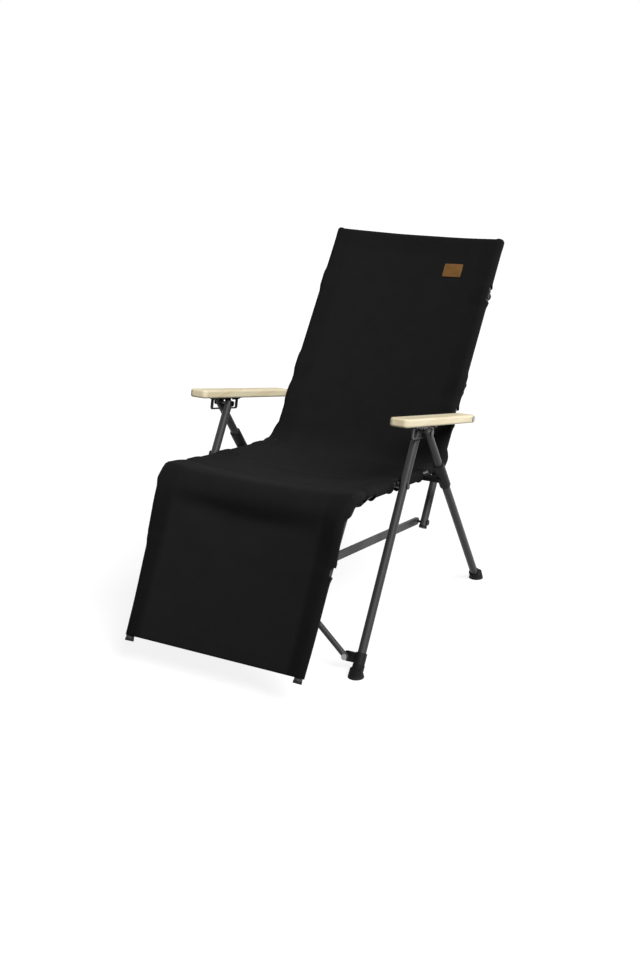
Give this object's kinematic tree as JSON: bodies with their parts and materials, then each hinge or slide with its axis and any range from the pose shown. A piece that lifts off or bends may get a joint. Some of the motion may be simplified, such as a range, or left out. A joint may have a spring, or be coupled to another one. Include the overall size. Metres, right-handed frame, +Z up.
{
  "type": "reclining camp lounger",
  "caption": "Folding reclining sling lounger with wooden armrests, notched recline plates, crossed braces and a leg rest linked to the back.",
  "frame": {"origin": "on the floor, below the middle of the whole outline at the stored recline", "axes": "+Z up, -Y to the front where the leg rest is, +X to the right as seen from the front"},
  "size_m": [0.611, 1.0942, 0.8733],
  "materials": {
    "tube_paint": "dark grey satin anodised tube",
    "moulded_plastic": "black moulded nylon",
    "foot_rubber": "matte black rubber",
    "rivet_steel": "steel pins and rivets",
    "plate_steel": "black coated steel plate",
    "canvas": "black canvas weave",
    "beech": "pale oiled beech",
    "leather": "tan leather"
  },
  "bodies": {
    "frame": {"front_leg_left": "tube_paint", "front_leg_right": "tube_paint", "front_foot_left": "foot_rubber", "front_foot_right": "foot_rubber", "seat_rail_left": "tube_paint", "seat_rail_right": "tube_paint", "seat_pin_left": "rivet_steel", "seat_pin_right": "rivet_steel", "knee_fork_left": "moulded_plastic", "knee_fork_right": "moulded_plastic", "back_fork_left": "moulded_plastic", "back_fork_right": "moulded_plastic", "apex_pin_left": "rivet_steel", "apex_pin_right": "rivet_steel", "brace_collar_left": "moulded_plastic", "brace_collar_right": "moulded_plastic", "brace_hanger_left": "moulded_plastic", "brace_hanger_right": "moulded_plastic", "front_brace_left": "tube_paint", "front_brace_right": "tube_paint", "knee_hinge_pins": "rivet_steel", "back_hinge_pins": "rivet_steel", "brace_rivets": "rivet_steel", "seat_sling": "canvas"},
    "rear_legs": {"rear_leg_left": "tube_paint", "rear_leg_right": "tube_paint", "rear_foot_left": "foot_rubber", "rear_foot_right": "foot_rubber", "rear_bracket_left": "moulded_plastic", "rear_bracket_right": "moulded_plastic"},
    "back": {"back_tube_left": "tube_paint", "back_tube_right": "tube_paint", "armrest_bolt_left": "rivet_steel", "armrest_bolt_right": "rivet_steel", "back_clamp_low_left": "moulded_plastic", "back_clamp_low_right": "moulded_plastic", "back_clamp_high_left": "moulded_plastic", "back_clamp_high_right": "moulded_plastic", "back_brace_left": "tube_paint", "back_brace_right": "tube_paint", "back_tube_caps": "moulded_plastic", "back_brace_rivets": "rivet_steel", "back_link_pins": "rivet_steel", "back_sling": "canvas", "leather_patch": "leather"},
    "leg_rest": {"leg_rest_tube_left": "tube_paint", "leg_rest_tube_right": "tube_paint", "leg_rest_caps": "moulded_plastic", "leg_rest_link_pins": "rivet_steel", "leg_rest_sling": "canvas"},
    "link_left": {"link_left": "tube_paint"},
    "armrest_left": {"armrest_left": "beech", "recline_plate_left": "plate_steel", "plate_screws_left": "rivet_steel"},
    "link_right": {"link_right": "tube_paint"},
    "armrest_right": {"armrest_right": "beech", "recline_plate_right": "plate_steel", "plate_screws_right": "rivet_steel"}
  },
  "joints": [
    {"name": "recline", "type": "hinge", "parent": "frame", "child": "back", "pos_m": [0, 0.16071, 0.34866], "axis": [-1, 0, 0], "range_deg": [-15, 15]},
    {"name": "leg_rest_swing", "type": "hinge", "parent": "frame", "child": "leg_rest", "pos_m": [0, -0.32783, 0.4148], "axis": [-1, 0, 0], "range_deg": [-15, 15]},
    {"name": "rear_leg_fold", "type": "hinge", "parent": "frame", "child": "rear_legs", "pos_m": [0, -0.02943, 0.498], "axis": [-1, 0, 0], "range_deg": [0, 50]},
    {"name": "link_pivot_left", "type": "hinge", "parent": "back", "child": "link_left", "pos_m": [0, 0.08758, 0.22694], "axis": [-1, 0, 0], "range_deg": [-15.5, 15.5]},
    {"name": "armrest_pivot_left", "type": "hinge", "parent": "back", "child": "armrest_left", "pos_m": [0, 0.24379, 0.46259], "axis": [-1, 0, 0], "range_deg": [-15.5, 15.5]},
    {"name": "link_pivot_right", "type": "hinge", "parent": "back", "child": "link_right", "pos_m": [0, 0.08758, 0.22694], "axis": [-1, 0, 0], "range_deg": [-15.5, 15.5]},
    {"name": "armrest_pivot_right", "type": "hinge", "parent": "back", "child": "armrest_right", "pos_m": [0, 0.24379, 0.46259], "axis": [-1, 0, 0], "range_deg": [-15.5, 15.5]}
  ],
  "couplings": [
    {"joint": "leg_rest_swing", "follows": "recline", "ratio": 1},
    {"joint": "link_pivot_left", "follows": "recline", "ratio": -1},
    {"joint": "armrest_pivot_left", "follows": "recline", "ratio": -0.8},
    {"joint": "link_pivot_right", "follows": "recline", "ratio": -1},
    {"joint": "armrest_pivot_right", "follows": "recline", "ratio": -0.8}
  ]
}
